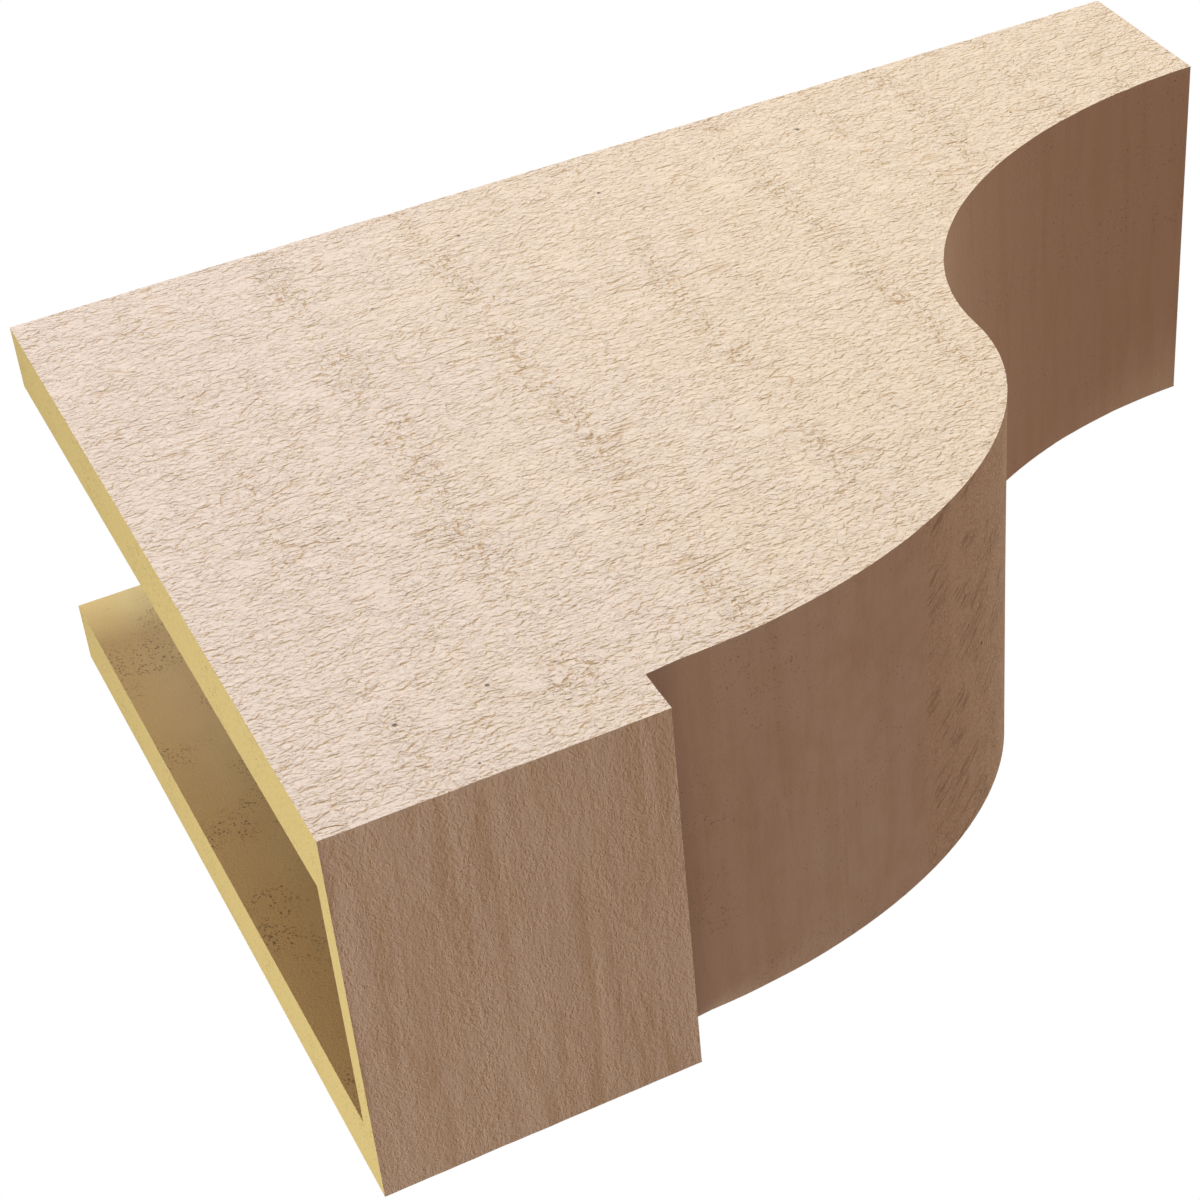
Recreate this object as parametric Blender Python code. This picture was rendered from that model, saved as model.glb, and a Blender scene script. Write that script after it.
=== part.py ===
"""Hollow faux-timber corbel: a bracket block with an ogee front, moulded in urethane foam.

The casting is open at the back, where it meets the wall, and at the top, where it meets the
soffit. Metres, +Z up. X runs across the corbel, the wall is the plane Y = 0 and the front
faces -Y. The origin is on the wall plane, at the middle of the foot's back edge.
"""

import math

import bmesh
import bpy

# Overall sizes, in proportion 3 : 2 : 1
HEIGHT = 0.4572
DEPTH = 0.3048
WIDTH = 0.1524

# Walls of the hollow casting
CHEEK_THICKNESS = 0.0254
FRONT_WALL = 0.0095

# Side profile. A drop is measured down from the top, a reach is measured out from the wall.
CAP_DROP = 0.1110
SHELF_REACH = 0.2871
SHOULDER_DROP = 0.1240
SHOULDER_REACH = 0.2860
WAIST_DROP = 0.2915
WAIST_REACH = 0.1770
FOOT_REACH = 0.0661
ARC_STEPS = 40

# The cutter runs this far past the open back and top
CUTTER_OVERRUN = 0.020
WELD_DISTANCE = 0.00001

BOTTOM = -FRONT_WALL / 2
TOP = BOTTOM + HEIGHT

# Finishes: colour, roughness
SKIN_FINISH = ("primed_skin", (0.72, 0.58, 0.44), 0.75)
FOAM_FINISH = ("raw_foam", (0.66, 0.50, 0.20), 0.85)
SKIN_SLOT = 0
FOAM_SLOT = 1


def clear_scene():
    for thing in list(bpy.data.objects):
        bpy.data.objects.remove(thing, do_unlink=True)


def new_collection(name):
    collection = bpy.data.collections.new(name)
    bpy.context.scene.collection.children.link(collection)
    return collection


def new_material(finish):
    name, colour, roughness = finish
    material = bpy.data.materials.new(name)
    material.use_nodes = True
    shader = material.node_tree.nodes["Principled BSDF"]
    shader.inputs["Base Color"].default_value = (*colour, 1.0)
    shader.inputs["Roughness"].default_value = roughness
    shader.inputs["Metallic"].default_value = 0.0
    return material


def quarter_ellipse(centre_reach, centre_height, reach_radius, height_radius, start, end):
    """Points of an ellipse from one angle to another, in degrees, as (reach, height)."""
    points = []
    for step in range(ARC_STEPS + 1):
        angle = math.radians(start + (end - start) * step / ARC_STEPS)
        reach = centre_reach + reach_radius * math.cos(angle)
        height = centre_height + height_radius * math.sin(angle)
        points.append((reach, height))
    return points


def front_outline():
    """The profile's front, from the top edge of the cap down to the foot's front corner."""
    shelf_height = TOP - CAP_DROP
    waist_height = TOP - WAIST_DROP
    belly = quarter_ellipse(
        WAIST_REACH,
        TOP - SHOULDER_DROP,
        SHOULDER_REACH - WAIST_REACH,
        WAIST_DROP - SHOULDER_DROP,
        0,
        -90,
    )
    cove = quarter_ellipse(
        WAIST_REACH,
        BOTTOM,
        WAIST_REACH - FOOT_REACH,
        waist_height - BOTTOM,
        90,
        180,
    )
    cap = [(DEPTH, TOP), (DEPTH, shelf_height), (SHELF_REACH, shelf_height)]
    return cap + belly + cove[1:]


def outer_profile():
    return front_outline() + [(0.0, BOTTOM), (0.0, TOP)]


def offset_line(start, end, distance):
    """The line through two points, moved to the right of its direction, heights drawn upwards."""
    along = (end[0] - start[0], end[1] - start[1])
    length = math.hypot(*along)
    shift = (along[1] / length * distance, -along[0] / length * distance)
    return (start[0] + shift[0], start[1] + shift[1]), along


def crossing(line_a, line_b):
    """Where two lines meet, or the second line's own point where they run on."""
    (ax, ay), (adx, ady) = line_a
    (bx, by), (bdx, bdy) = line_b
    turn = adx * bdy - ady * bdx
    if abs(turn) < 1e-12:
        return bx, by
    share = ((bx - ax) * bdy - (by - ay) * bdx) / turn
    return ax + adx * share, ay + ady * share


def cavity_profile():
    """The hollow's side profile: the front outline moved in by the wall's thickness."""
    outline = front_outline()
    above = (DEPTH, TOP + CUTTER_OVERRUN)
    behind = (-CUTTER_OVERRUN, BOTTOM)
    run = [above] + outline[1:] + [behind]
    # With reach drawn to the right, the outline runs down the front and the body is on its right
    lines = [offset_line(run[i], run[i + 1], FRONT_WALL) for i in range(len(run) - 1)]
    first = (DEPTH - FRONT_WALL, TOP + CUTTER_OVERRUN)
    corners = [crossing(lines[i], lines[i + 1]) for i in range(len(lines) - 1)]
    last = (-CUTTER_OVERRUN, BOTTOM + FRONT_WALL)
    return [first] + corners + [last, (-CUTTER_OVERRUN, TOP + CUTTER_OVERRUN)]


def extruded_profile(name, points, width, collection):
    """A flat outline with thickness, turned so that its reach runs along -Y."""
    curve = bpy.data.curves.new(name, "CURVE")
    curve.dimensions = "2D"
    curve.fill_mode = "BOTH"
    curve.extrude = width / 2
    spline = curve.splines.new("POLY")
    spline.points.add(len(points) - 1)
    for point, (reach, height) in zip(spline.points, points):
        point.co = (reach, height, 0.0, 1.0)
    spline.use_cyclic_u = True
    holder = bpy.data.objects.new(name, curve)
    collection.objects.link(holder)
    holder.rotation_euler = (math.radians(90), 0.0, math.radians(-90))
    return curve_to_mesh(holder, collection)


def curve_to_mesh(holder, collection):
    """A closed mesh object in the curve's place. Its caps are welded to its sides."""
    bpy.context.view_layer.update()
    evaluated = holder.evaluated_get(bpy.context.evaluated_depsgraph_get())
    mesh = bpy.data.meshes.new_from_object(evaluated)
    shape = bmesh.new()
    shape.from_mesh(mesh)
    bmesh.ops.remove_doubles(shape, verts=shape.verts, dist=WELD_DISTANCE)
    bmesh.ops.recalc_face_normals(shape, faces=shape.faces)
    shape.to_mesh(mesh)
    shape.free()
    name = holder.name
    placed = holder.matrix_world.copy()
    bpy.data.objects.remove(holder, do_unlink=True)
    solid = bpy.data.objects.new(name, mesh)
    solid.matrix_world = placed
    collection.objects.link(solid)
    return solid


def bare_the_open_edges(block):
    """The back and top faces are cut foam, and all other outer faces are primed skin."""
    turned = block.matrix_world.to_3x3()
    for face in block.data.polygons:
        normal = turned @ face.normal
        faces_wall = normal.y > 0.99
        faces_soffit = normal.z > 0.99
        face.material_index = FOAM_SLOT if faces_wall or faces_soffit else SKIN_SLOT


def build_cutter(collection, foam):
    cavity_width = WIDTH - 2 * CHEEK_THICKNESS
    cutter = extruded_profile("cavity_cutter", cavity_profile(), cavity_width, collection)
    cutter.data.materials.clear()
    cutter.data.materials.append(foam)
    cutter.hide_render = True
    cutter.display_type = "WIRE"
    return cutter


def build_corbel(collection, cutter, skin, foam):
    """One casting: two cheeks joined by the front wall and the foot."""
    corbel = extruded_profile("corbel", outer_profile(), WIDTH, collection)
    corbel.data.materials.clear()
    corbel.data.materials.append(skin)
    corbel.data.materials.append(foam)
    bare_the_open_edges(corbel)
    hollow = corbel.modifiers.new("hollow", "BOOLEAN")
    hollow.operation = "DIFFERENCE"
    hollow.object = cutter
    hollow.material_mode = "TRANSFER"
    return corbel


def main():
    clear_scene()
    parts = new_collection("hollow_corbel")
    cutters = new_collection("cutters")
    skin = new_material(SKIN_FINISH)
    foam = new_material(FOAM_FINISH)
    cutter = build_cutter(cutters, foam)
    build_corbel(parts, cutter, skin, foam)


main()
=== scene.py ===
# %% [markdown]
# # A hollow corbel in faux rough-sawn timber
# The corbel is one casting in urethane foam. Its mould was taken from a rough-sawn block, so its
# outside has saw marks and grain under a cream primer. The back and the top are open, and there
# the bare yellow foam shows. This lesson gives the plain CAD solid that skin and those finishes.

# %% Load the frame
import math

import bpy
import numpy as np
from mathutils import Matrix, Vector, noise


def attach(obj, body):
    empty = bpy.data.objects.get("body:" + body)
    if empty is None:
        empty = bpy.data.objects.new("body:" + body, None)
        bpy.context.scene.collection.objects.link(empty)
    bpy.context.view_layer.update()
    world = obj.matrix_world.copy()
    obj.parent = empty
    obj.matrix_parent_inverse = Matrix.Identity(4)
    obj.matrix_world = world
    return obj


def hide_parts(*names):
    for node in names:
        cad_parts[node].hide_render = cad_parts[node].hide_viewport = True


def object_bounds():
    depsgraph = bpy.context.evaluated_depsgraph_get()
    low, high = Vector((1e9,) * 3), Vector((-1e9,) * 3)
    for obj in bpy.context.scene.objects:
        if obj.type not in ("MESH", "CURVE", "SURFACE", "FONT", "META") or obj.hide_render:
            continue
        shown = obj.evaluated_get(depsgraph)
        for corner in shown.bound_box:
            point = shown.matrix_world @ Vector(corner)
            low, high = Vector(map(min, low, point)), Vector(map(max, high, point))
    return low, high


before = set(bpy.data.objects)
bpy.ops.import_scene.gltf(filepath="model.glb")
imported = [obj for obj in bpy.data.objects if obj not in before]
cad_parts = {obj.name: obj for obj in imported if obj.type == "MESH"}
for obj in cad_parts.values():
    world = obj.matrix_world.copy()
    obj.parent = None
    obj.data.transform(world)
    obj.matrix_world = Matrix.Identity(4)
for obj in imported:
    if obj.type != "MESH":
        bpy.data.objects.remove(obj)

MM = 0.001

cad_low, cad_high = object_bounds()
top = cad_high.z
print("CAD box in mm:", [round(v / MM, 1) for v in cad_high - cad_low])

# %% [markdown]
# ## The casting
# The CAD solid has large flat faces, and a saw mark can't be carved into a face with no points
# in it. Subdividing would make long thin faces, because the side's outline is curved. A Remesh
# modifier in its sharp mode lays an even lattice of square faces over the whole block instead,
# and keeps every edge crisp. The copy is merged first, since a CAD node's triangles are loose.

# %% Copy the CAD solid and mesh it evenly
LATTICE_DEPTH = 8
LATTICE_SHARE = 0.93
MERGE_DISTANCE = 0.01 * MM


def select_only(piece):
    bpy.ops.object.select_all(action="DESELECT")
    piece.select_set(True)
    bpy.context.view_layer.objects.active = piece


def copy_of_node(name, new_name):
    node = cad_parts[name]
    piece = bpy.data.objects.new(new_name, node.data.copy())
    bpy.context.scene.collection.objects.link(piece)
    return piece


casting = copy_of_node("corbel", "corbel_casting")
select_only(casting)
bpy.ops.object.mode_set(mode="EDIT")
bpy.ops.mesh.select_all(action="SELECT")
bpy.ops.mesh.remove_doubles(threshold=MERGE_DISTANCE)
bpy.ops.object.mode_set(mode="OBJECT")

even = casting.modifiers.new("even_faces", "REMESH")
even.mode = "SHARP"
even.octree_depth = LATTICE_DEPTH
even.scale = LATTICE_SHARE
even.use_remove_disconnected = False
bpy.ops.object.modifier_apply(modifier=even.name)
print("faces after remeshing:", len(casting.data.polygons))

# %% [markdown]
# ## Which face is which
# A face's place and normal tell what it is: a cheek looks along X, the front looks forwards or
# down, the sawn-off rims look at the wall or at the soffit, and what is left is the inside.

# %% Sort the faces by place and normal
NEAR = 0.5 * MM
STEEP = 0.5


def face_centres_and_normals(mesh):
    count = len(mesh.polygons)
    centres = np.zeros(count * 3)
    normals = np.zeros(count * 3)
    mesh.polygons.foreach_get("center", centres)
    mesh.polygons.foreach_get("normal", normals)
    return centres.reshape(-1, 3), normals.reshape(-1, 3)


def sort_faces(mesh):
    centres, normals = face_centres_and_normals(mesh)
    sideways = np.abs(normals[:, 0]) > STEEP
    cheek = sideways & (np.abs(centres[:, 0]) > cad_high.x - NEAR)
    front = ~sideways & (normals[:, 1] + normals[:, 2] < 0)
    rim_back = ~sideways & (centres[:, 1] > cad_high.y - NEAR)
    rim_top = ~sideways & (centres[:, 2] > cad_high.z - NEAR)
    rim = ~front & (rim_back | rim_top)
    inside = ~(cheek | front | rim)
    return {"cheek": cheek, "front": front, "rim": rim, "inside": inside}


sorts = sort_faces(casting.data)
print({name: int(mask.sum()) for name, mask in sorts.items()})

# %% [markdown]
# The inside is plain foam with no relief, so most of its small faces can go, which leaves the
# triangles for the skin. Each inner cheek is flat and becomes one face. The inner side of the
# front wall is curved one way only, so its faces are joined into strips that run across it.

# %% Dissolve the inside
def dissolve_flat_inside(piece, inside):
    """Joins the inside faces that look along X into one face for each cheek."""
    normals = face_centres_and_normals(piece.data)[1]
    flat = inside & (np.abs(normals[:, 0]) > STEEP)
    select_only(piece)
    bpy.ops.object.mode_set(mode="EDIT")
    bpy.ops.mesh.select_mode(type="FACE")
    bpy.ops.mesh.select_all(action="DESELECT")
    bpy.ops.object.mode_set(mode="OBJECT")
    piece.data.polygons.foreach_set("select", flat)
    bpy.ops.object.mode_set(mode="EDIT")
    bpy.ops.mesh.dissolve_faces()
    bpy.ops.object.mode_set(mode="OBJECT")


def edges_between(mesh, face_mask):
    """The edges that have a chosen face on both sides."""
    loop_edges = np.zeros(len(mesh.loops), np.int32)
    mesh.loops.foreach_get("edge_index", loop_edges)
    totals = np.zeros(len(mesh.polygons), np.int32)
    mesh.polygons.foreach_get("loop_total", totals)
    chosen = np.repeat(face_mask, totals)
    return np.bincount(loop_edges[chosen], minlength=len(mesh.edges)) == 2


def dissolve_across_wall(piece, wall):
    """Joins the chosen faces across X, by dissolving the edges that lie at one X."""
    mesh = piece.data
    ends = np.zeros(len(mesh.edges) * 2, np.int32)
    mesh.edges.foreach_get("vertices", ends)
    places = np.zeros(len(mesh.vertices) * 3)
    mesh.vertices.foreach_get("co", places)
    x = places.reshape(-1, 3)[ends.reshape(-1, 2), 0]
    at_one_x = np.abs(x[:, 0] - x[:, 1]) < MERGE_DISTANCE
    select_only(piece)
    bpy.ops.object.mode_set(mode="EDIT")
    bpy.ops.mesh.select_mode(type="EDGE")
    bpy.ops.mesh.select_all(action="DESELECT")
    bpy.ops.object.mode_set(mode="OBJECT")
    mesh.edges.foreach_set("select", at_one_x & edges_between(mesh, wall))
    bpy.ops.object.mode_set(mode="EDIT")
    bpy.ops.mesh.dissolve_edges(use_verts=True)
    bpy.ops.object.mode_set(mode="OBJECT")


dissolve_flat_inside(casting, sorts["inside"])
sorts = sort_faces(casting.data)
inner_normals = face_centres_and_normals(casting.data)[1]
dissolve_across_wall(casting, sorts["inside"] & (np.abs(inner_normals[:, 0]) < STEEP))
sorts = sort_faces(casting.data)
casting.data.calc_loop_triangles()
print("triangles:", len(casting.data.loop_triangles))
print({name: int(mask.sum()) for name, mask in sorts.items()})

# %% [markdown]
# ## Relief of the sawn skin
# A frame saw leaves bands of torn fibres across a board, with the grain running along it between
# them. The relief is noise stretched along the grain, and ridged noise inside each band. It is
# carved inwards only, so the casting keeps its outside size.

# %% Noise over many points
def noise_at(points, cell, shift):
    """Smooth noise from -1 to 1, with lumps as large as the cell. A shift gives another noise."""
    scaled = points / np.array(cell) + shift
    return np.array([noise.noise(Vector(p)) for p in scaled])


TABLE_STEPS = 600


def wander(across, cell, seed):
    """Smooth noise from -1 to 1 along one line, read from a fine table. A seed for each noise."""
    steps = np.linspace(across.min(), across.max(), TABLE_STEPS)
    table = [noise.noise(Vector((step / cell, seed, 0.5))) for step in steps]
    return np.interp(across, steps, table)


def smooth_step(low, high, values):
    share = np.clip((values - low) / (high - low), 0.0, 1.0)
    return share * share * (3.0 - 2.0 * share)


def ridges(values, width):
    """1 on the lines where the noise crosses zero, falling to 0 within the width."""
    return np.clip(1.0 - np.abs(values) / width, 0.0, 1.0)


# %% [markdown]
# Each saw-mark band is given by how far below the top it crosses the cheek, how wide it is and
# how rough. The bands wander, and they fade in and out across the board.

# %% Saw-mark bands
SAW_BANDS = (
    (38, 13, 0.7),
    (64, 10, 0.5),
    (93, 20, 1.0),
    (148, 16, 1.0),
    (175, 8, 0.4),
    (213, 14, 0.8),
    (246, 8, 0.3),
    (277, 12, 1.0),
    (318, 10, 0.6),
    (350, 14, 1.0),
    (396, 11, 0.9),
    (428, 10, 0.8),
)
BAND_WANDER = 3.5 * MM
WANDER_CELL = 45 * MM
JITTER_CELL = 8 * MM
JITTER_SHARE = 0.3
FADE_CELL = 30 * MM
FADED = 0.35
FAR_OFF = 1.0


def bands_at(points):
    """How torn each point is, from 0 to 1, and how far it is off the nearest band's middle."""
    drop = top - points[:, 2]
    torn = np.zeros(len(points))
    off_band = np.full(len(points), FAR_OFF)
    for number, (below_top, width, roughness) in enumerate(SAW_BANDS):
        side = wander(points[:, 1], WANDER_CELL, number + 0.3)
        jitter = wander(points[:, 1], JITTER_CELL, number + 20.3)
        off = drop - below_top * MM - BAND_WANDER * (side + JITTER_SHARE * jitter)
        presence = wander(points[:, 1], FADE_CELL, number + 40.3)
        shown = FADED + (1.0 - FADED) * smooth_step(-0.35, 0.25, presence)
        strength = smooth_step(1.4, 0.2, np.abs(off) / (width * MM / 2))
        torn = np.maximum(torn, roughness * shown * strength)
        off_band = np.where(np.abs(off) < np.abs(off_band), off, off_band)
    return torn, off_band


# %% [markdown]
# The cell of each noise gives the size of its lumps in metres. A cheek is flat, so its cells are
# long in X. The depths are in millimetres until the last line.

# %% Depth of the relief on the cheeks and on the front
CHEEK_WAVE = (0.2, 0.050, 0.060)
CHEEK_GRAIN = (0.2, 0.0055, 0.028)
CHEEK_TEAR = (0.2, 0.0075, 0.0042)
CHEEK_CLODS = (0.2, 0.0050, 0.0046)
CALM_CELL = (0.2, 0.016, 0.012)
TEAR_WIDTH = 0.35
FRONT_WAVE = (0.080, 0.050, 0.050)
FRONT_STREAK = (0.060, 0.0060, 0.0060)
CAP_BEGINS = -0.290
CAP_IS_FULL = -0.296


def cheek_depth(points, torn, calm):
    wave = noise_at(points, CHEEK_WAVE, 1.5)
    grain = noise_at(points, CHEEK_GRAIN, 4.5)
    tear = ridges(noise_at(points, CHEEK_TEAR, 7.5), TEAR_WIDTH)
    clods = noise_at(points, CHEEK_CLODS, 9.5)
    depth = 0.09 * (1.0 + wave) + 0.06 * (1.0 + grain) * (1.0 - 0.7 * calm)
    depth += torn * (0.06 + 0.20 * tear + 0.14 * (1.0 + clods))
    return depth * MM


def front_depth(points):
    wave = noise_at(points, FRONT_WAVE, 2.5)
    streak = noise_at(points, FRONT_STREAK, 5.5)
    in_cap = smooth_step(CAP_BEGINS, CAP_IS_FULL, points[:, 1])
    depth = 0.10 * (1.0 + wave) + (0.02 + 0.12 * in_cap) * (1.0 + streak)
    return depth * MM


# %% [markdown]
# Each point of the skin moves inwards along the normal of its own sheet, cheek or front. A point
# on an edge belongs to both and moves along each, a little less, so that the edges stay crisp.
# How torn and how calm a point is, and how far it is off its band, go into attributes, because
# the materials need them too.

# %% Carve the skin
EDGE_SHARE = 0.6


def corners_of(mesh, face_mask):
    """For the chosen faces, each corner's point and face."""
    totals = np.zeros(len(mesh.polygons), np.int32)
    mesh.polygons.foreach_get("loop_total", totals)
    points = np.zeros(len(mesh.loops), np.int32)
    mesh.loops.foreach_get("vertex_index", points)
    faces = np.repeat(np.arange(len(mesh.polygons)), totals)
    chosen = face_mask[faces]
    return points[chosen], faces[chosen]


def skin_normals(mesh, face_mask):
    """Which points the chosen faces touch, and each one's normal from those faces alone."""
    points, faces = corners_of(mesh, face_mask)
    face_normals = face_centres_and_normals(mesh)[1]
    normals = np.zeros((len(mesh.vertices), 3))
    np.add.at(normals, points, face_normals[faces])
    length = np.linalg.norm(normals, axis=1, keepdims=True)
    touched = length[:, 0] > 0
    return touched, normals / np.where(length > 0, length, 1.0)


def carve(piece, sorts):
    mesh = piece.data
    places = np.zeros(len(mesh.vertices) * 3)
    mesh.vertices.foreach_get("co", places)
    places = places.reshape(-1, 3)
    torn, off_band = bands_at(places)
    on_cheek, cheek_normals = skin_normals(mesh, sorts["cheek"])
    on_front, front_normals = skin_normals(mesh, sorts["front"])
    on_rim = skin_normals(mesh, sorts["rim"])[0]
    skin = on_cheek | on_front
    calm = np.zeros(len(places))
    calm[skin] = smooth_step(0.30, 0.50, noise_at(places[skin], CALM_CELL, 12.5))
    at_edge = (on_cheek & on_front) | on_rim
    share = np.where(at_edge, EDGE_SHARE, 1.0)
    moved = places.copy()
    depths = np.zeros(len(places))
    on_cheek_depth = cheek_depth(places[on_cheek], torn[on_cheek], calm[on_cheek])
    on_front_depth = front_depth(places[on_front])
    for mask, normals, depth in (
        (on_cheek, cheek_normals, on_cheek_depth),
        (on_front, front_normals, on_front_depth),
    ):
        depth = depth * share[mask]
        moved[mask] -= normals[mask] * depth[:, None]
        depths[mask] = np.maximum(depths[mask], depth)
    mesh.vertices.foreach_set("co", moved.ravel())
    for name, values in (("torn", torn), ("calm", calm), ("off_band", off_band / MM)):
        layer = mesh.attributes.new(name, "FLOAT", "POINT")
        layer.data.foreach_set("value", values.astype(np.float32))
    mesh.update()
    return depths


depths = carve(casting, sorts)
print("deepest carving in mm:", round(depths.max() / MM, 2))

# %% [markdown]
# ## Shared effects for the finishes
# Skin and foam share a few effects. Each is a node group that puts out masks and heights, so that
# every material can use it with its own values. All of them read places in millimetres.

# %% Helpers that build nodes
def add_node(tree, kind, settings=None, **inputs):
    """A node with its settings and inputs. An input goes by its name, or by i and its number.

    A socket given as a value is linked.
    """
    node = tree.nodes.new(kind)
    for name, value in (settings or {}).items():
        setattr(node, name, value)
    for name, value in inputs.items():
        key = int(name[1:]) if name[0] == "i" and name[1:].isdigit() else name.replace("_", " ")
        socket = node.inputs[key]
        if isinstance(value, bpy.types.NodeSocket):
            tree.links.new(value, socket)
        else:
            socket.default_value = value
    return node


def maths(tree, operation, first, second=0.0, third=0.0):
    node = add_node(
        tree, "ShaderNodeMath", {"operation": operation}, i0=first, i1=second, i2=third,
    )
    return node.outputs[0]


def remap(tree, value, low, high, to_low=0.0, to_high=1.0):
    node = add_node(tree, "ShaderNodeMapRange", {"interpolation_type": "SMOOTHSTEP"})
    tree.links.new(value, node.inputs["Value"])
    bounds = {"From Min": low, "From Max": high, "To Min": to_low, "To Max": to_high}
    for name, number in bounds.items():
        node.inputs[name].default_value = number
    return node.outputs[0]


def lumps(tree, place, pitch_mm, detail=2.0, roughness=0.5, distortion=0.0, stretch=(1, 1, 1)):
    """Noise from 0 to 1 whose lumps are about that many millimetres, longer where stretched."""
    squeeze = tuple(1.0 / (pitch_mm * s) for s in stretch)
    scaled = add_node(
        tree, "ShaderNodeVectorMath", {"operation": "MULTIPLY"}, i0=place, i1=squeeze,
    )
    texture = add_node(
        tree, "ShaderNodeTexNoise", Vector=scaled.outputs[0], Scale=1.0,
        Detail=detail, Roughness=roughness, Distortion=distortion,
    )
    return texture.outputs["Fac"]


def new_group(name, inputs, outputs):
    tree = bpy.data.node_groups.new(name, "ShaderNodeTree")
    for socket, kind, value in inputs:
        made = tree.interface.new_socket(socket, in_out="INPUT", socket_type=kind)
        if value is not None:
            made.default_value = value
    for socket in outputs:
        tree.interface.new_socket(socket, in_out="OUTPUT", socket_type="NodeSocketFloat")
    return tree, tree.nodes.new("NodeGroupInput").outputs, tree.nodes.new("NodeGroupOutput").inputs


# %% More helpers that build nodes
def times(tree, first, second):
    return maths(tree, "MULTIPLY", first, second)


def centred(tree, value, share):
    """Noise from 0 to 1 turned into a height around zero."""
    return maths(tree, "MULTIPLY_ADD", value, share, -0.5 * share)


# %% [markdown]
# ### Sawn relief
# This group is the height of the fine relief. Ripples of about two millimetres and thin fibres
# lie on swells of five, all longer along the grain. They are weaker where the surface is calm,
# and where the saw tore the wood clods take part of their place. All sizes are in millimetres.

# %% Ripples, swells, fibres and clods
RIPPLE = 1.7
SWELL = 5.0
FIBRE = 0.9
CLOD = 2.6
UNEVENNESS = 11.0


def soft_grain(tree, place, torn, calm):
    ripples = lumps(tree, place, RIPPLE, detail=3.0, distortion=0.9, stretch=(1, 1, 1.5))
    swells = lumps(tree, place, SWELL, detail=1.0, stretch=(1, 1, 1.8))
    height = maths(tree, "ADD", centred(tree, ripples, 1.65), centred(tree, swells, 0.95))
    fibres = lumps(tree, place, FIBRE, detail=2.0, distortion=0.4, stretch=(1, 1, 7))
    height = maths(tree, "ADD", height, centred(tree, fibres, 0.45))
    uneven = lumps(tree, place, UNEVENNESS, detail=1.0)
    strength = remap(tree, uneven, 0.35, 0.65, 0.88, 1.1)
    strength = times(tree, strength, maths(tree, "MULTIPLY_ADD", calm, -0.25, 1.0))
    strength = times(tree, strength, maths(tree, "MULTIPLY_ADD", torn, 0.08, 1.0))
    clods = lumps(tree, place, CLOD, detail=2.0, distortion=0.3, stretch=(1, 1.5, 1))
    clods = times(tree, centred(tree, clods, 1.9), torn)
    return maths(tree, "ADD", times(tree, height, strength), clods)


# %% [markdown]
# Splits are short cracks along the grain, tears are short cracks across it in the torn bands,
# and folds are a few long creases. Each is the highest part of a noise, or its middle line, and
# a second, wider noise leaves it out in places.

# %% Splits, tears and folds
SPLIT = 2.0
SPLIT_PLACES = 14.0
TEAR = 1.6
TEAR_KNOTS = 8.0
FOLD = 9.0
FOLD_PLACES = 26.0
FOLD_WIDTH = 0.035


def cracks(tree, place, torn, splits, tears):
    split = lumps(
        tree, place, SPLIT, detail=3.0, roughness=0.6, distortion=0.8, stretch=(1, 1, 2.8),
    )
    places = lumps(tree, place, SPLIT_PLACES, detail=1.0, stretch=(1, 1, 1.6))
    places = remap(tree, places, 0.42, 0.62, 0.3, 1.0)
    split = times(tree, remap(tree, split, 0.62, 0.74), times(tree, places, splits))

    tear = lumps(
        tree, place, TEAR, detail=2.0, roughness=0.6, distortion=0.4, stretch=(1, 2.4, 1),
    )
    tear = times(tree, remap(tree, tear, 0.57, 0.67), remap(tree, torn, 0.1, 0.7))
    knots = remap(tree, lumps(tree, place, TEAR_KNOTS, detail=1.0), 0.46, 0.60, 0.2, 1.1)
    tear = times(tree, times(tree, tear, knots), tears)

    fold = lumps(tree, place, FOLD, detail=1.0, distortion=0.6, stretch=(1, 1, 3))
    off_fold = maths(tree, "ABSOLUTE", maths(tree, "SUBTRACT", fold, 0.5))
    places = remap(tree, lumps(tree, place, FOLD_PLACES, detail=1.0), 0.58, 0.68)
    fold = times(tree, times(tree, remap(tree, off_fold, FOLD_WIDTH, 0.0), places), tears)
    return split, tear, fold


# %% [markdown]
# Each band has a small step along parts of its middle, where one stroke of the saw ended and the
# next began.

# %% The step between two strokes
STEP_SWAY = 4.0
STEP_WIDTH = 0.6
STEP_PARTS = 7.0


def stroke_step(tree, place, torn, off_band, tears):
    unsteady = lumps(tree, place, STEP_SWAY, detail=2.0, roughness=0.6)
    unsteady = maths(tree, "ADD", centred(tree, unsteady, STEP_SWAY), off_band)
    step = remap(tree, unsteady, STEP_WIDTH, -STEP_WIDTH)
    parts = remap(tree, lumps(tree, place, STEP_PARTS, detail=0.0), 0.42, 0.58, 0.0, 0.45)
    return times(tree, times(tree, step, parts), times(tree, torn, tears))


# %% The sawn relief group
RELIEF_INPUTS = (
    ("Place", "NodeSocketVector", None),
    ("Torn", "NodeSocketFloat", 0.0),
    ("Calm", "NodeSocketFloat", 0.0),
    ("Off Band", "NodeSocketFloat", 20.0),
    ("Splits", "NodeSocketFloat", 1.0),
    ("Tears", "NodeSocketFloat", 1.0),
)


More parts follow.
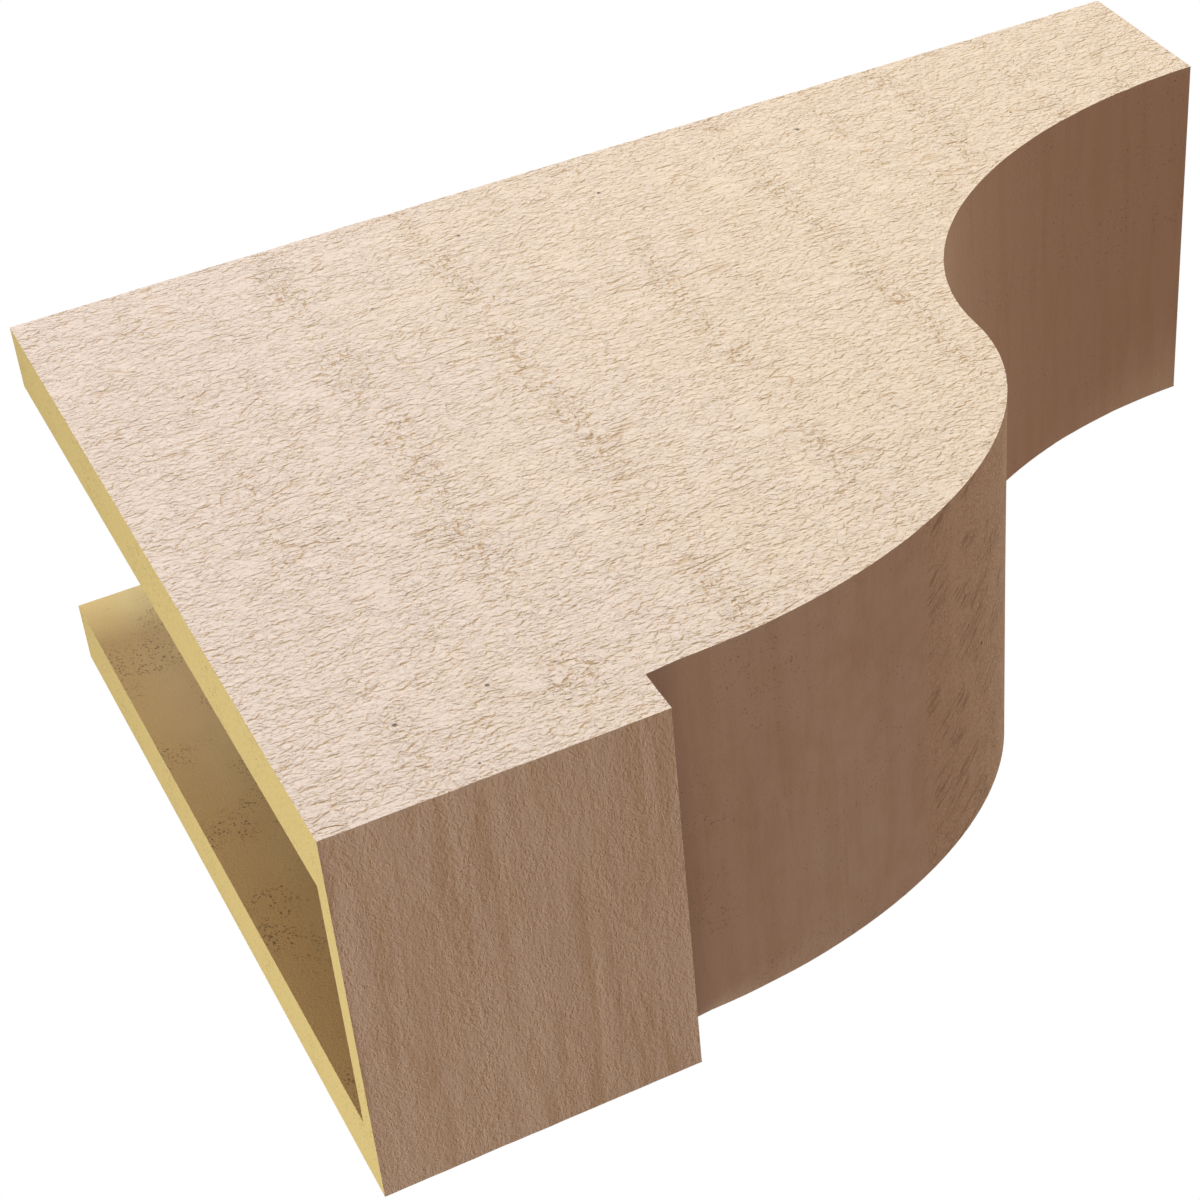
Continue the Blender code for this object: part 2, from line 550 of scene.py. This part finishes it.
def sawn_relief():
    tree, given, wanted = new_group("sawn_relief", RELIEF_INPUTS, ("Height", "Crack"))
    place = given["Place"]
    torn = given["Torn"]
    height = soft_grain(tree, place, torn, given["Calm"])
    split, tear, fold = cracks(tree, place, torn, given["Splits"], given["Tears"])
    step = stroke_step(tree, place, torn, given["Off Band"], given["Tears"])
    crack = maths(tree, "MAXIMUM", tear, times(tree, fold, 0.5))
    crack = maths(tree, "MAXIMUM", split, crack)
    height = maths(tree, "MULTIPLY_ADD", maths(tree, "MAXIMUM", split, fold), -0.4, height)
    height = maths(tree, "MULTIPLY_ADD", tear, -0.2, height)
    tree.links.new(maths(tree, "ADD", height, step), wanted["Height"])
    tree.links.new(crack, wanted["Crack"])
    return tree


relief_group = sawn_relief()
print("group:", relief_group.name, len(relief_group.nodes), "nodes")

# %% [markdown]
# ### Sawn grain
# The side of each ripple that faces away from the lights, from the wall's side and the soffit's
# side, is painted browner as painted shade. To find that side, the group reads the relief twice,
# here and half a millimetre nearer to the lights. Where the second height is greater, the surface
# faces away from the lights. The crack mask joins it, and the cracks' brown is partly their own
# colour and partly painted shade.

# %% The sawn grain group
# The direction towards the lights, for the painted shade on the far side of each ripple.
TOWARDS_LIGHTS = (0.0, 0.45, 0.22)


def sawn_grain():
    inputs = RELIEF_INPUTS + (("Fuzz", "NodeSocketFloat", 1.0),)
    tree, given, wanted = new_group("sawn_grain", inputs, ("Height", "Shade And Cracks"))
    nearer = add_node(
        tree, "ShaderNodeVectorMath", {"operation": "ADD"}, i0=given["Place"], i1=TOWARDS_LIGHTS,
    )
    nearer_band = maths(tree, "SUBTRACT", given["Off Band"], TOWARDS_LIGHTS[2])

    def relief_at(place, off_band):
        return add_node(
            tree, "ShaderNodeGroup", {"node_tree": relief_group},
            Place=place, Torn=given["Torn"], Calm=given["Calm"], Off_Band=off_band,
            Splits=given["Splits"], Tears=given["Tears"],
        )

    here = relief_at(given["Place"], given["Off Band"])
    there = relief_at(nearer.outputs[0], nearer_band)
    rise = maths(tree, "SUBTRACT", there.outputs["Height"], here.outputs["Height"])
    # Painted shade: the side of each ripple facing away from the lights is marked for a browner
    # colour.
    shaded_side = remap(tree, rise, 0.0, 0.34, 0.0, 0.85)
    crack = times(tree, here.outputs["Crack"], 0.8)
    tree.links.new(times(tree, here.outputs["Height"], given["Fuzz"]), wanted["Height"])
    tree.links.new(maths(tree, "MAXIMUM", crack, shaded_side), wanted["Shade And Cracks"])
    return tree


grain_group = sawn_grain()
print("group:", grain_group.name, len(grain_group.nodes), "nodes")

# %% [markdown]
# ### Pin specks
# A few small dark pits are bubbles that burst in the mould. A Voronoi texture gives one point to
# each cell, and a random value of the cell decides whether that cell has a speck.

# %% The pin speck group
def pin_specks():
    tree, given, wanted = new_group(
        "pin_specks",
        (
            ("Place", "NodeSocketVector", None),
            ("Spacing", "NodeSocketFloat", 30.0),
            ("Radius", "NodeSocketFloat", 0.7),
            ("Share", "NodeSocketFloat", 0.5),
        ),
        ("Speck",),
    )
    scaled = add_node(tree, "ShaderNodeVectorMath", {"operation": "SCALE"}, i0=given["Place"])
    tree.links.new(maths(tree, "DIVIDE", 1.0, given["Spacing"]), scaled.inputs["Scale"])
    cells = add_node(
        tree, "ShaderNodeTexVoronoi", {"voronoi_dimensions": "2D"},
        Vector=scaled.outputs[0], Scale=1.0,
    )
    distance = times(tree, cells.outputs["Distance"], given["Spacing"])
    value = add_node(tree, "ShaderNodeSeparateColor", Color=cells.outputs["Color"])
    kept = maths(tree, "LESS_THAN", value.outputs[0], given["Share"])
    size = times(tree, given["Radius"], maths(tree, "ADD", value.outputs[1], 0.5))
    inside = maths(tree, "SUBTRACT", 1.0, maths(tree, "DIVIDE", distance, size))
    dot = remap(tree, inside, 0.0, 0.5)
    tree.links.new(times(tree, dot, kept), wanted["Speck"])
    return tree


speck_group = pin_specks()
print("group:", speck_group.name, len(speck_group.nodes), "nodes")

# %% [markdown]
# ## Primed skin
# The primer is a nearly matt cream tan. It's painted browner in the cracks, partly their own
# colour and partly painted shade, and on the side of each ripple away from the lights, which is
# painted shade. On the cheeks a painted light tint draws it a little to lilac near the top and to
# yellow towards the foot. On the fronts the grain is finer and runs across the width, with long
# faint streaks. The ogee also has patches of small pits, painted shade in the corner under the cap
# and in the cove, and rough scratched skin where the belly turns under, painted lighter there as a
# painted pool of light from below. A brush or a picture could paint this, but noise in
# millimetres keeps its true size on every face. One function makes all three skins, each with
# its own values.

# %% Colours of the skin
def linear(red, green, blue):
    """A colour as seen on a screen, from 0 to 255, as the shader's linear values."""
    def channel(value):
        value /= 255.0
        return value / 12.92 if value <= 0.04045 else ((value + 0.055) / 1.055) ** 2.4
    return (channel(red), channel(green), channel(blue), 1.0)


def mix(tree, share, first, second):
    """A mix of two colours, which are the node's sockets 6 and 7."""
    node = add_node(
        tree, "ShaderNodeMix", {"data_type": "RGBA", "clamp_factor": True},
        i0=share, i6=first, i7=second,
    )
    return node.outputs[2]


# Painted light: the cheek's primer as seen under lilac light at the top and yellow light at the
# foot.
PRIMER_UNDER_LILAC_LIGHT = linear(221, 193, 171)
PRIMER_UNDER_YELLOW_LIGHT = linear(224, 194, 164)
PRIMER_FRONT = linear(212, 182, 157)
PRIMER_BELLY = linear(222, 199, 172)
# Painted shade: the primer darker in the concave cove under the belly.
PRIMER_IN_COVE_SHADE = linear(209, 179, 149)
# Painted light: the lighter, warmer skin where the belly turns under, lit from below.
UNDERSIDE_LIT_TAN = linear(232, 203, 168)
# Painted shade in the cracks and on the ripples' shaded side, partly the cracks' own brown.
SHADE_AND_CRACK_BROWN = linear(184, 136, 74)
STREAK_BROWN = linear(180, 140, 98)
# Painted shade: the dark in the corner under the cap's step.
SHADE_UNDER_CAP_BROWN = linear(130, 114, 108)
SPECK_BROWN = linear(84, 66, 52)


# %% A material and its place in millimetres
def new_material(name):
    material = bpy.data.materials.new(name)
    material.use_nodes = True
    tree = material.node_tree
    shader = tree.nodes["Principled BSDF"]
    coordinates = tree.nodes.new("ShaderNodeTexCoord")
    place = add_node(
        tree, "ShaderNodeVectorMath", {"operation": "SCALE"}, i0=coordinates.outputs["Object"],
    )
    place.inputs["Scale"].default_value = 1.0 / MM
    return material, tree, shader, place.outputs[0]


def attribute(tree, name):
    return add_node(tree, "ShaderNodeAttribute", {"attribute_name": name}).outputs["Fac"]


# %% [markdown]
# The grain runs up the cheeks but across the fronts, and it's finer there. The group is the same,
# so for the fronts the place is turned and scaled before it goes in. The specks take only two
# coordinates, because the cells of their texture have to lie flat on the face.

# %% Places for the grain and the specks
FRONT_FINENESS = 1.5


def grain_across(tree, place):
    """The place with its axes turned, so that the grain's Z runs across the width, and finer."""
    parts = add_node(tree, "ShaderNodeSeparateXYZ", Vector=place)
    turned = add_node(
        tree, "ShaderNodeCombineXYZ",
        X=parts.outputs["Y"], Y=parts.outputs["Z"], Z=parts.outputs["X"],
    )
    finer = add_node(tree, "ShaderNodeVectorMath", {"operation": "SCALE"}, i0=turned.outputs[0])
    finer.inputs["Scale"].default_value = FRONT_FINENESS
    return finer.outputs[0]


def on_the_face(tree, place, along_length):
    """The place within the face alone: Y and Z on a cheek, and X and Z on the front."""
    parts = add_node(tree, "ShaderNodeSeparateXYZ", Vector=place)
    sideways = parts.outputs["Y" if along_length else "X"]
    flat = add_node(tree, "ShaderNodeCombineXYZ", X=sideways, Y=parts.outputs["Z"])
    return flat.outputs[0]


# %% [markdown]
# The primer's colour isn't the same all over. It drifts between two tans with the height, along
# an uneven border. On the cheeks that drift is painted light, lilac at the top and yellow at the
# foot as the light's colour changes, and on the ogee it's painted shade, darker in the cove. It
# has faint streaks along the grain where it ran thin. The ogee's mould left patches of pits.

# %% Tint, streaks and pits
TINT_PATCH = 70.0
TINT_MOTTLE = 9.0
TINT_SWAY = 160.0
STREAK_WIDTH = 10.0
PIT_SIZE = 0.9
PIT_PATCH = 30.0


def uneven_tint(tree, place, z, upper, lower, heights):
    """One colour above and the other below, with an uneven border between two heights."""
    patches = centred(tree, lumps(tree, place, TINT_PATCH, detail=2.0), TINT_SWAY)
    mottle = centred(tree, lumps(tree, place, TINT_MOTTLE, detail=3.0), TINT_SWAY)
    height = maths(tree, "ADD", maths(tree, "ADD", patches, mottle), z)
    return mix(tree, remap(tree, height, *heights), upper, lower)


def faint_streaks(tree, grain_place, share):
    streak = lumps(
        tree, grain_place, STREAK_WIDTH,
        detail=4.0, roughness=0.6, distortion=0.5, stretch=(1, 1, 9),
    )
    return times(tree, remap(tree, streak, 0.42, 0.68), share)


def small_pits(tree, place, share):
    pit = remap(tree, lumps(tree, place, PIT_SIZE, detail=1.0), 0.66, 0.76)
    patches = remap(tree, lumps(tree, place, PIT_PATCH, detail=2.0), 0.4, 0.62)
    return times(tree, times(tree, pit, patches), share)


# %% [markdown]
# Where the belly turns under, the skin is rougher and scratched on a slant, and it's painted
# lighter and warmer there, a painted pool of the light from below. A turned and stretched noise
# draws the scratches, and their zone makes the grain stronger.

# %% The underside of the belly
UNDERSIDE_BEGINS = (237.0, 231.0)
UNDERSIDE_ENDS = (140.0, 170.0)
UNDERSIDE_SWAY = 6.0
SCRATCH_SLANT = -1.12
SCRATCH_WIDTH = 1.8
SCRATCH_PATCH = 20.0


def belly_underside(tree, grain_place, z, share):
    """Where the belly turns under and its skin is rougher, and the slanting scratches there."""
    uneven = lumps(tree, grain_place, UNDERSIDE_SWAY, detail=2.0)
    height = maths(tree, "ADD", centred(tree, uneven, UNDERSIDE_SWAY), z)
    below = remap(tree, height, *UNDERSIDE_BEGINS)
    above = remap(tree, z, *UNDERSIDE_ENDS)
    zone = times(tree, times(tree, below, above), share)
    slant = add_node(
        tree, "ShaderNodeVectorRotate", {"rotation_type": "X_AXIS"},
        Vector=grain_place, Angle=SCRATCH_SLANT,
    )
    drawn = lumps(
        tree, slant.outputs[0], SCRATCH_WIDTH, detail=3.0, roughness=0.6, stretch=(9, 1, 14),
    )
    patches = remap(tree, lumps(tree, grain_place, SCRATCH_PATCH, detail=1.0), 0.42, 0.58)
    scratches = times(tree, remap(tree, drawn, 0.54, 0.66), patches)
    return zone, times(tree, scratches, zone)


# %% [markdown]
# One function puts these together. The colour is laid on from the primer up to the dark specks,
# and all the heights add up to one bump.

# %% Primed skin materials
# Heights of the cheek's painted light tint, from lilac at the top to yellow towards the foot.
CHEEK_LIGHT_TINT_HEIGHTS = (440.0, 150.0)
# Heights of the ogee's painted shade, darker towards the cove.
OGEE_SHADE_HEIGHTS = (345.0, 150.0)
SHADE_UNDER_CAP_HEIGHTS = (322.0, 343.0)
SHADE_UNDER_CAP_SHARE = 0.4
SPECK_SPACING = 30.0
SPECK_RADIUS = 0.7
SPECK_DEPTH = 0.5
UNDERSIDE_LIGHT_SHARE = 0.6
UNDERSIDE_SHADE_AND_CRACKS = 0.5
UNDERSIDE_FUZZ = 4.0
SCRATCH_SHARE = 0.45
SCRATCH_DEPTH = 0.55
RELIEF_HEIGHT = 0.9 * MM


def primed_skin(
    name, along_length, upper, lower, tint_heights,
    fuzz, splits, tears, shade_and_crack_strength, streaks, pits, specks_kept, belly=0.0,
):
    material, tree, shader, place = new_material(name)
    z = add_node(tree, "ShaderNodeSeparateXYZ", Vector=place).outputs["Z"]
    grain_place = place if along_length else grain_across(tree, place)
    grain = add_node(
        tree, "ShaderNodeGroup", {"node_tree": grain_group},
        Place=grain_place, Torn=attribute(tree, "torn"), Calm=attribute(tree, "calm"),
        Off_Band=attribute(tree, "off_band"), Fuzz=fuzz, Splits=splits, Tears=tears,
    )
    specks = add_node(
        tree, "ShaderNodeGroup", {"node_tree": speck_group},
        Place=on_the_face(tree, place, along_length),
        Spacing=SPECK_SPACING, Radius=SPECK_RADIUS, Share=specks_kept,
    )
    underside, scratches = belly_underside(tree, grain_place, z, belly)
    pit = small_pits(tree, place, pits)
    dark = maths(tree, "MAXIMUM", times(tree, specks.outputs[0], 0.8), pit)

    colour = uneven_tint(tree, place, z, upper, lower, tint_heights)
    colour = mix(tree, faint_streaks(tree, grain_place, streaks), colour, STREAK_BROWN)
    # Painted light on the belly's underside, lit from below.
    colour = mix(tree, times(tree, underside, UNDERSIDE_LIGHT_SHARE), colour, UNDERSIDE_LIT_TAN)
    # Painted shade in the cracks and on the ripples' shaded side, partly the cracks' own brown,
    # and the scratches.
    shade_and_cracks = maths(tree, "MULTIPLY_ADD", underside, UNDERSIDE_SHADE_AND_CRACKS, shade_and_crack_strength)
    shade_and_cracks = times(tree, grain.outputs["Shade And Cracks"], shade_and_cracks)
    shade_and_cracks = maths(tree, "MAXIMUM", shade_and_cracks, times(tree, scratches, SCRATCH_SHARE))
    colour = mix(tree, shade_and_cracks, colour, SHADE_AND_CRACK_BROWN)
    # Painted shade in the corner under the cap.
    corner = times(tree, remap(tree, z, *SHADE_UNDER_CAP_HEIGHTS), SHADE_UNDER_CAP_SHARE * belly)
    colour = mix(tree, corner, colour, SHADE_UNDER_CAP_BROWN)
    tree.links.new(mix(tree, dark, colour, SPECK_BROWN), shader.inputs["Base Color"])

    rough = remap(tree, grain.outputs["Shade And Cracks"], 0.0, 1.0, 0.68, 0.9)
    tree.links.new(rough, shader.inputs["Roughness"])
    fuzzier = maths(tree, "MULTIPLY_ADD", underside, UNDERSIDE_FUZZ, 1.0)
    height = times(tree, grain.outputs["Height"], fuzzier)
    height = maths(tree, "MULTIPLY_ADD", scratches, -SCRATCH_DEPTH, height)
    height = maths(tree, "MULTIPLY_ADD", dark, -SPECK_DEPTH, height)
    bump = add_node(tree, "ShaderNodeBump", Height=height, Strength=1.0, Distance=RELIEF_HEIGHT)
    tree.links.new(bump.outputs[0], shader.inputs["Normal"])
    shader.inputs["Specular IOR Level"].default_value = 0.35
    return material


# %% The three skins
cheek_skin = primed_skin(
    "primed_cheek", True, PRIMER_UNDER_LILAC_LIGHT, PRIMER_UNDER_YELLOW_LIGHT, CHEEK_LIGHT_TINT_HEIGHTS,
    fuzz=1.0, splits=1.0, tears=1.0, shade_and_crack_strength=0.8,
    streaks=0.0, pits=0.0, specks_kept=0.16,
)
cap_skin = primed_skin(
    "primed_cap_front", False, PRIMER_FRONT, PRIMER_FRONT, OGEE_SHADE_HEIGHTS,
    fuzz=0.16, splits=0.8, tears=0.5, shade_and_crack_strength=0.5,
    streaks=0.36, pits=0.0, specks_kept=0.05,
)
ogee_skin = primed_skin(
    "primed_ogee_front", False, PRIMER_BELLY, PRIMER_IN_COVE_SHADE, OGEE_SHADE_HEIGHTS,
    fuzz=0.11, splits=0.3, tears=0.0, shade_and_crack_strength=0.2,
    streaks=0.16, pits=0.4, specks_kept=0.03, belly=1.0,
)
print("skins:", cheek_skin.name, cap_skin.name, ogee_skin.name)

# %% [markdown]
# ## Raw foam
# The rims and the inside were never primed. The rims are cut foam, a straw yellow with a fine
# open grain. The inside was cast against the core of the mould. It is smoother and browner, but
# ochre at its open end, and the mould release left fine brown speckles there, in patches.

# %% Raw foam material
RIM_YELLOW = linear(192, 164, 106)
RIM_OCHRE = linear(186, 155, 92)
RIM_END = linear(190, 162, 105)
CORE_OCHRE = linear(205, 178, 121)
CORE_BROWN = linear(199, 169, 114)
CORE_END = linear(205, 171, 110)
FOAM_DUST = linear(100, 78, 50)
FOAM_END = (430.0, 448.0)
FOAM_BLOTCH = 22.0
FOAM_GRAIN = 0.9
DUST_PATCH = 32.0
FOAM_ROUGHNESS = (0.75, 0.95)
FOAM_RELIEF = 0.25 * MM


def raw_foam(name, light_colour, dark_colour, end_colour, grain, dust):
    material, tree, shader, place = new_material(name)
    z = add_node(tree, "ShaderNodeSeparateXYZ", Vector=place).outputs["Z"]
    blotches = remap(tree, lumps(tree, place, FOAM_BLOTCH, detail=3.0), 0.38, 0.68)
    colour = mix(tree, blotches, light_colour, dark_colour)
    colour = mix(tree, remap(tree, z, *FOAM_END), colour, end_colour)
    fine = lumps(tree, place, FOAM_GRAIN, detail=2.0, roughness=0.6)
    pores = times(tree, remap(tree, fine, 0.52, 0.66), grain)
    colour = mix(tree, pores, colour, FOAM_DUST)
    patches = lumps(tree, place, DUST_PATCH, detail=4.0, roughness=0.6)
    dusty = times(tree, remap(tree, fine, 0.56, 0.66), remap(tree, patches, 0.46, 0.6))
    colour = mix(tree, times(tree, dusty, dust), colour, FOAM_DUST)
    tree.links.new(colour, shader.inputs["Base Color"])
    tree.links.new(remap(tree, fine, 0.2, 0.8, *FOAM_ROUGHNESS), shader.inputs["Roughness"])
    bump = add_node(tree, "ShaderNodeBump", Height=fine, Strength=1.0, Distance=FOAM_RELIEF)
    tree.links.new(bump.outputs[0], shader.inputs["Normal"])
    shader.inputs["Specular IOR Level"].default_value = 0.25
    return material


foam_rim = raw_foam("raw_foam_rim", RIM_YELLOW, RIM_OCHRE, RIM_END, 0.2, 0.4)
foam_inside = raw_foam("raw_foam_inside", CORE_OCHRE, CORE_BROWN, CORE_END, 0.0, 0.75)

# %% [markdown]
# Each face takes the material of its sort. The cap is the part of the front that stands furthest
# from the wall, with the shelf under it.

# %% Give the faces their materials
CAP_REACH = -0.288


def paint(piece, sorts):
    mesh = piece.data
    mesh.materials.clear()
    in_cap = face_centres_and_normals(mesh)[0][:, 1] < CAP_REACH
    finishes = (
        (cheek_skin, sorts["cheek"]),
        (cap_skin, sorts["front"] & in_cap),
        (ogee_skin, sorts["front"] & ~in_cap),
        (foam_rim, sorts["rim"]),
        (foam_inside, sorts["inside"]),
    )
    slots = np.zeros(len(mesh.polygons), np.int32)
    for slot, (material, faces) in enumerate(finishes):
        mesh.materials.append(material)
        slots[faces] = slot
    mesh.polygons.foreach_set("material_index", slots)
    mesh.update()


paint(casting, sorts)
print("materials:", [material.name for material in casting.data.materials])

# %% Shade it smooth
SOFT_WITHIN = math.radians(40)
select_only(casting)
bpy.ops.object.shade_smooth_by_angle(angle=SOFT_WITHIN)

# %% The casting stands for the CAD solid
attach(casting, "root")
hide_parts("corbel")
casting.data.calc_loop_triangles()
print("triangles in the casting:", len(casting.data.loop_triangles))

# %% [markdown]
# ## Floor, light and camera
# The corbel hangs on a wall, so the floor lies well below it. Floor and surroundings are plain
# white to the camera, and to the object they give only a weak warm light. The soft key light
# stands on the cheek's side and a little below, so that the front stays brown. A side light from
# the wall's side rakes across the grain. Weak ones fill the cheek's shadows, graze the cap's top
# rims, and warm the belly's underside.

# %% Floor
FLOOR_BELOW = 1.5
FLOOR_SIZE = 60.0
WARM_FILL = (0.325, 0.242, 0.212, 1.0)
WHITE = (1.0, 1.0, 1.0, 1.0)
BLACK = (0.0, 0.0, 0.0, 1.0)

bpy.ops.object.select_all(action="DESELECT")
bpy.ops.mesh.primitive_plane_add(size=FLOOR_SIZE, location=(0, 0, -FLOOR_BELOW))
floor = bpy.context.active_object
floor.name = "floor"


def white_to_the_camera(tree, target):
    """White where the camera looks at it, and a weak warm light for everything else."""
    path = tree.nodes.new("ShaderNodeLightPath")
    colour = mix(tree, path.outputs["Is Camera Ray"], WARM_FILL, WHITE)
    tree.links.new(colour, target)


floor_paint = bpy.data.materials.new("floor_white")
floor_paint.use_nodes = True
floor_shader = floor_paint.node_tree.nodes["Principled BSDF"]
floor_shader.inputs["Base Color"].default_value = BLACK
floor_shader.inputs["Specular IOR Level"].default_value = 0.0
floor_shader.inputs["Emission Strength"].default_value = 1.0
white_to_the_camera(floor_paint.node_tree, floor_shader.inputs["Emission Color"])
floor.data.materials.append(floor_paint)

# %% Surroundings
scene = bpy.context.scene
scene.view_settings.view_transform = "Standard"
world = bpy.data.worlds.new("studio")
scene.world = world
world.use_nodes = True
background = world.node_tree.nodes["Background"]
white_to_the_camera(world.node_tree, background.inputs["Color"])

# %% Lights
OBJECT_CENTRE = Vector((0.0, -0.13, 0.24))


def soft_light(name, direction, distance, width, height, power, colour):
    """A rectangular light that looks at the object. Its width is level and its height upright."""
    data = bpy.data.lights.new(name, "AREA")
    data.shape = "RECTANGLE"
    data.size = width
    data.size_y = height
    data.energy = power
    data.color = colour
    light = bpy.data.objects.new(name, data)
    scene.collection.objects.link(light)
    towards = Vector(direction).normalized()
    light.location = OBJECT_CENTRE + towards * distance
    light.rotation_euler = towards.to_track_quat("Z", "Y").to_euler()


soft_light("key", (0.94, 0.14, -0.30), 4.0, 1.2, 1.2, 134.0, (0.78, 1.0, 1.08))
soft_light("side", (0.60, 0.80, 0.0), 3.0, 1.5, 1.5, 44.0, (0.87, 1.0, 1.25))
soft_light("fill", (0.75, 0.25, 0.60), 1.5, 1.2, 1.2, 2.5, (0.80, 1.0, 1.40))
soft_light("top", (-0.12, -0.28, 1.0), 1.3, 0.6, 0.6, 15.5, (0.84, 1.0, 0.97))
soft_light("under", (0.0, 0.25, -1.0), 1.3, 0.5, 0.5, 1.3, (1.0, 0.62, 0.35))

# %% [markdown]
# The camera looks down on the cheek and is turned on its side, so that the corbel lies across the
# picture with its open top at the left.

# %% Camera
CAMERA_PLACE = (0.6246, -0.8880, 0.5923)
CAMERA_TURN = (-43.231, 62.193, -95.857)
CAMERA_LENS = 86.085
CAMERA_SHIFT = (-0.125, -0.0333)
SENSOR_WIDTH = 36.0
CAMERA_REACH = 200.0

camera_data = bpy.data.cameras.new("camera")
camera = bpy.data.objects.new("camera", camera_data)
scene.collection.objects.link(camera)
camera.location = CAMERA_PLACE
camera.rotation_euler = [math.radians(a) for a in CAMERA_TURN]
camera_data.sensor_width = SENSOR_WIDTH
camera_data.lens = CAMERA_LENS
camera_data.shift_x, camera_data.shift_y = CAMERA_SHIFT
camera_data.clip_end = CAMERA_REACH
scene.camera = camera
